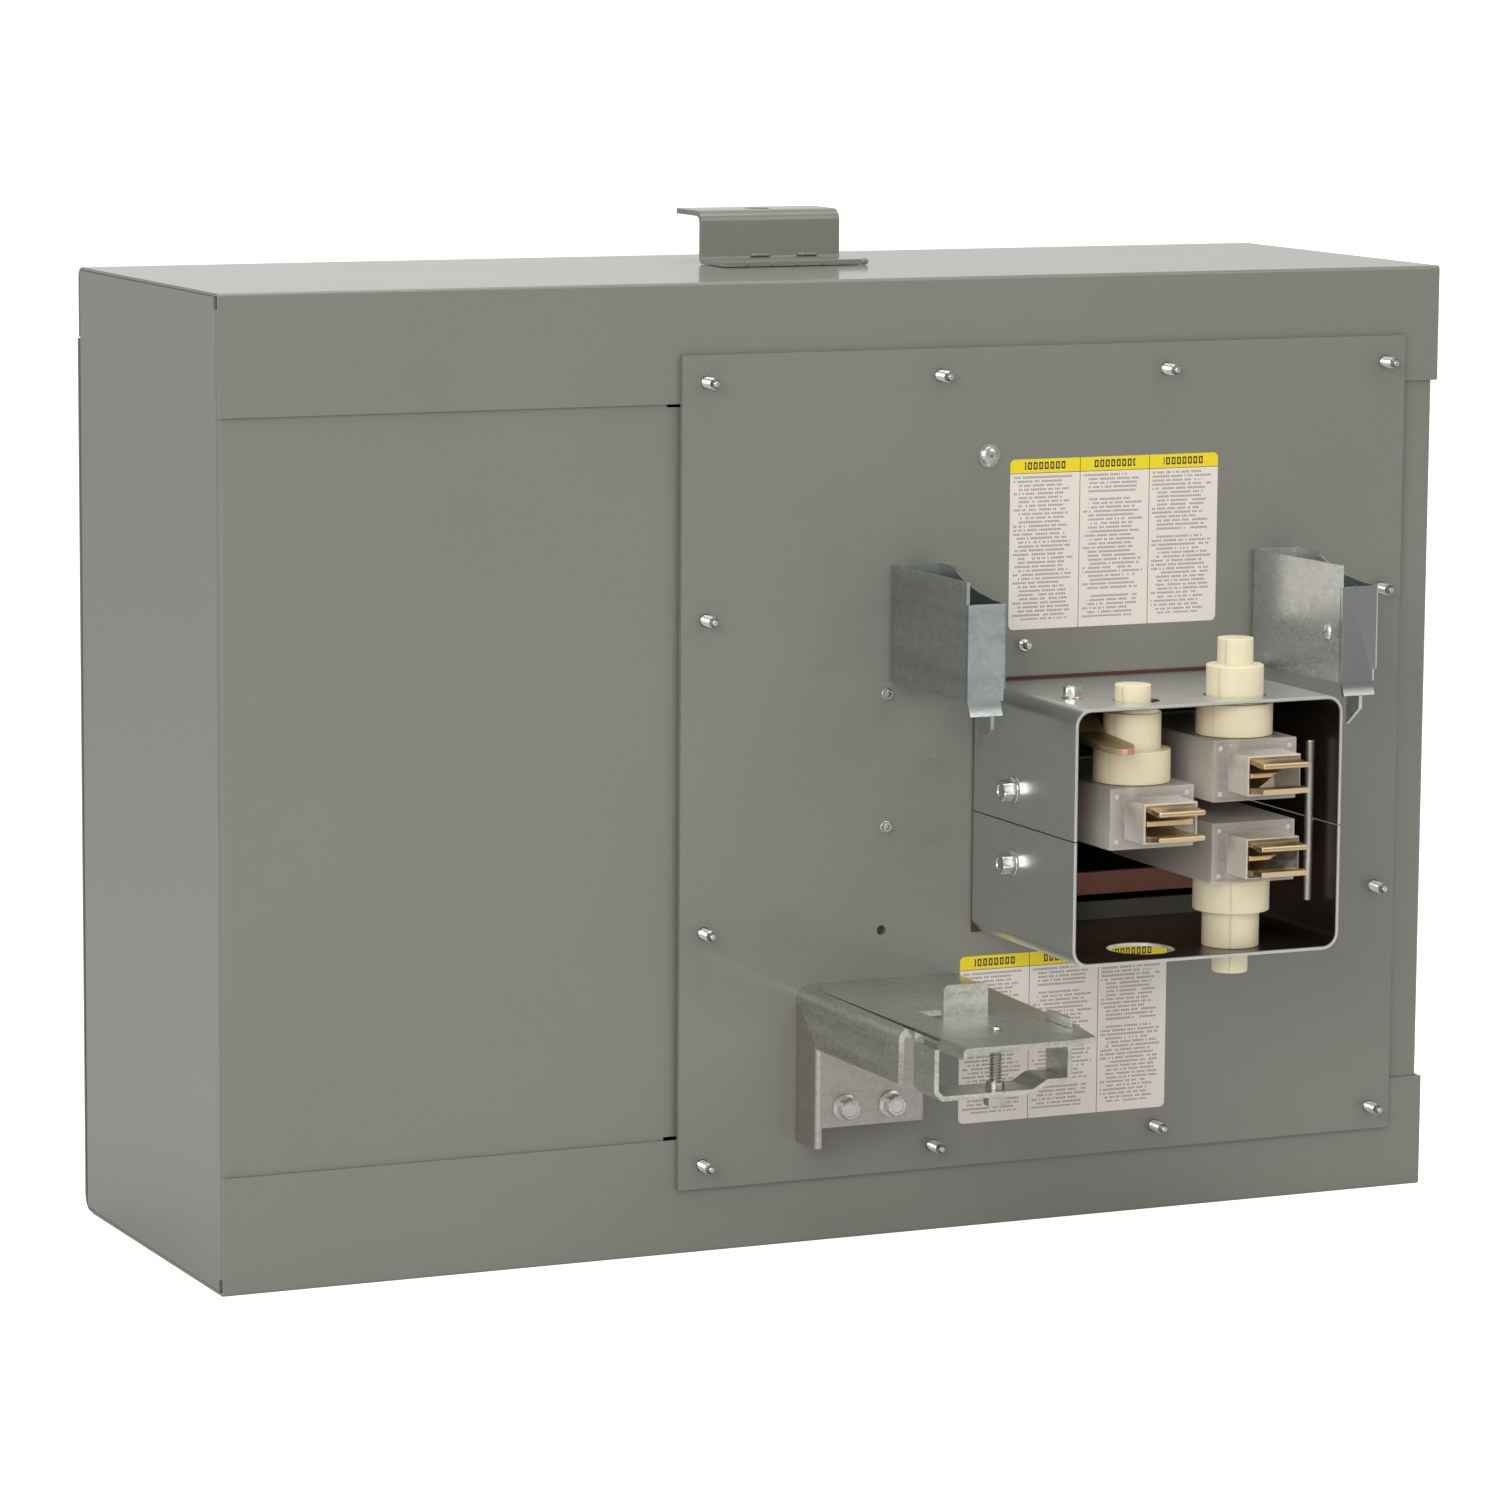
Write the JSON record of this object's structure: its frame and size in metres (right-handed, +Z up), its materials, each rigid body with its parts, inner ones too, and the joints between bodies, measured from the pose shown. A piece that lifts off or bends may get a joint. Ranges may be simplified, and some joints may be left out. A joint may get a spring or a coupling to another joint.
{
  "type": "busway plug-in unit",
  "caption": "Sheet-steel breaker enclosure with plug-in jaws in a throat, hanging hooks, a screw clamp, a top hanger and a hinged front door with a rotary handle.",
  "frame": {"origin": "centre of the bottom of the object's box", "axes": "+X right when facing the busway side, +Y away from the busway towards the door, +Z up"},
  "size_m": [0.7046, 0.4442, 0.5365],
  "materials": {
    "grey_paint": "satin enamel",
    "galvanized_steel": "galvanized",
    "zinc_plated_steel": "bright zinc plate",
    "cream_nylon": "moulded",
    "milky_vinyl": "translucent moulding",
    "plated_contact": "plated",
    "copper_bar": "copper",
    "red_fibre": "fibre sheet",
    "black_moulding": "moulded"
  },
  "bodies": {
    "enclosure": {"body_wrapper": "grey_paint", "top_cap": "grey_paint", "bottom_cap": "grey_paint", "hanger_bracket": "grey_paint", "mounting_plate": "grey_paint", "hook_left": "galvanized_steel", "hook_right": "galvanized_steel", "throat_upper": "galvanized_steel", "throat_lower": "galvanized_steel", "clamp_base": "galvanized_steel", "clamp_arm": "galvanized_steel", "plate_screw_01": "zinc_plated_steel", "plate_screw_02": "zinc_plated_steel", "plate_screw_03": "zinc_plated_steel", "plate_screw_04": "zinc_plated_steel", "plate_screw_05": "zinc_plated_steel", "plate_screw_06": "zinc_plated_steel", "plate_screw_07": "zinc_plated_steel", "plate_screw_08": "zinc_plated_steel", "plate_screw_09": "zinc_plated_steel", "plate_screw_10": "zinc_plated_steel", "plate_screw_11": "zinc_plated_steel", "plate_screw_12": "zinc_plated_steel", "throat_bolt_1": "zinc_plated_steel", "throat_bolt_2": "zinc_plated_steel", "stab_screw": "zinc_plated_steel", "tie_rod": "zinc_plated_steel", "base_screw_1": "zinc_plated_steel", "base_screw_2": "zinc_plated_steel", "hinge_leaf_lower": "zinc_plated_steel", "hinge_leaf_upper": "zinc_plated_steel", "shaft_bridge": "zinc_plated_steel", "jaw_boot_a": "milky_vinyl", "jaw_boot_b": "milky_vinyl", "jaw_boot_c": "milky_vinyl", "line_strap_a": "copper_bar", "line_strap_b": "copper_bar", "line_strap_c": "copper_bar", "ground_stab": "copper_bar", "ground_link": "copper_bar", "throat_gasket": "red_fibre", "breaker_case": "black_moulding"},
    "door": {"front_door": "grey_paint"},
    "latch_low": {"latch_lower": "zinc_plated_steel"},
    "latch_high": {"latch_upper": "zinc_plated_steel"},
    "handle": {"operating_handle": "black_moulding"},
    "shaft": {"operator_shaft": "zinc_plated_steel"},
    "toggle": {"breaker_toggle": "black_moulding"},
    "clamp_jaw_body": {"clamp_jaw": "galvanized_steel"},
    "clamp_bolt_body": {"clamp_bolt": "zinc_plated_steel"},
    "bolt_a": {"jaw_bolt_a": "cream_nylon"},
    "clip_upper_a": {"jaw_clip_upper_a": "plated_contact"},
    "clip_lower_a": {"jaw_clip_lower_a": "plated_contact"},
    "bolt_b": {"jaw_bolt_b": "cream_nylon"},
    "clip_upper_b": {"jaw_clip_upper_b": "plated_contact"},
    "clip_lower_b": {"jaw_clip_lower_b": "plated_contact"},
    "bolt_c": {"jaw_bolt_c": "cream_nylon"},
    "clip_upper_c": {"jaw_clip_upper_c": "plated_contact"},
    "clip_lower_c": {"jaw_clip_lower_c": "plated_contact"}
  },
  "joints": [
    {"name": "door_hinge", "type": "hinge", "parent": "enclosure", "child": "door", "pos_m": [0.34925, 0.18905, 0.235], "axis": [0, 0, -1], "range_deg": [0, 110]},
    {"name": "latch_lower_turn", "type": "hinge", "parent": "door", "child": "latch_low", "pos_m": [-0.33035, 0.19215, 0.09], "axis": [0, -1, 0], "range_deg": [0, 90]},
    {"name": "latch_upper_turn", "type": "hinge", "parent": "door", "child": "latch_high", "pos_m": [-0.33035, 0.19215, 0.39], "axis": [0, -1, 0], "range_deg": [0, 90]},
    {"name": "handle_turn", "type": "hinge", "parent": "door", "child": "handle", "pos_m": [-0.14835, 0.19215, 0.2365], "axis": [0, 1, 0], "range_deg": [0, 90]},
    {"name": "shaft_turn", "type": "hinge", "parent": "enclosure", "child": "shaft", "pos_m": [-0.14835, 0.13185, 0.2365], "axis": [0, 1, 0], "range_deg": [0, 90]},
    {"name": "toggle_throw", "type": "hinge", "parent": "enclosure", "child": "toggle", "pos_m": [-0.14835, 0.05085, 0.2365], "axis": [0, 0, 1], "range_deg": [0, 34.5]},
    {"name": "jaw_bolt_a_turn", "type": "hinge", "parent": "enclosure", "child": "bolt_a", "pos_m": [0.11115, -0.12715, 0.2365], "axis": [0, 0, -1], "range_deg": [0, 720]},
    {"name": "jaw_clip_upper_a_slide", "type": "slide", "parent": "enclosure", "child": "clip_upper_a", "axis": [0, 0, -1], "range_m": [0, 0.0012]},
    {"name": "jaw_clip_lower_a_slide", "type": "slide", "parent": "enclosure", "child": "clip_lower_a", "axis": [0, 0, 1], "range_m": [0, 0.0012]},
    {"name": "jaw_bolt_b_turn", "type": "hinge", "parent": "enclosure", "child": "bolt_b", "pos_m": [0.17115, -0.12715, 0.258], "axis": [0, 0, -1], "range_deg": [0, 720]},
    {"name": "jaw_clip_upper_b_slide", "type": "slide", "parent": "enclosure", "child": "clip_upper_b", "axis": [0, 0, -1], "range_m": [0, 0.0012]},
    {"name": "jaw_clip_lower_b_slide", "type": "slide", "parent": "enclosure", "child": "clip_lower_b", "axis": [0, 0, 1], "range_m": [0, 0.0012]},
    {"name": "jaw_bolt_c_turn", "type": "hinge", "parent": "enclosure", "child": "bolt_c", "pos_m": [0.17115, -0.12715, 0.215], "axis": [0, 0, 1], "range_deg": [0, 720]},
    {"name": "jaw_clip_upper_c_slide", "type": "slide", "parent": "enclosure", "child": "clip_upper_c", "axis": [0, 0, -1], "range_m": [0, 0.0012]},
    {"name": "jaw_clip_lower_c_slide", "type": "slide", "parent": "enclosure", "child": "clip_lower_c", "axis": [0, 0, 1], "range_m": [0, 0.0012]},
    {"name": "clamp_jaw_slide", "type": "slide", "parent": "enclosure", "child": "clamp_jaw_body", "axis": [0, 0, 1], "range_m": [0, 0.015]},
    {"name": "clamp_bolt_turn", "type": "hinge", "parent": "clamp_jaw_body", "child": "clamp_bolt_body", "pos_m": [0.00665, -0.18195, 0.1064], "axis": [0, 0, 1], "range_deg": [0, 4250]}
  ],
  "couplings": [
    {"joint": "shaft_turn", "follows": "handle_turn", "ratio": 1},
    {"joint": "toggle_throw", "follows": "handle_turn", "ratio": 0.38},
    {"joint": "jaw_clip_upper_a_slide", "follows": "jaw_bolt_a_turn", "m_per_rad": 0.00009549},
    {"joint": "jaw_clip_lower_a_slide", "follows": "jaw_bolt_a_turn", "m_per_rad": 0.00009549},
    {"joint": "jaw_clip_upper_b_slide", "follows": "jaw_bolt_b_turn", "m_per_rad": 0.00009549},
    {"joint": "jaw_clip_lower_b_slide", "follows": "jaw_bolt_b_turn", "m_per_rad": 0.00009549},
    {"joint": "jaw_clip_upper_c_slide", "follows": "jaw_bolt_c_turn", "m_per_rad": 0.00009549},
    {"joint": "jaw_clip_lower_c_slide", "follows": "jaw_bolt_c_turn", "m_per_rad": 0.00009549},
    {"joint": "clamp_bolt_turn", "follows": "clamp_jaw_slide", "rad_per_m": 4945}
  ]
}
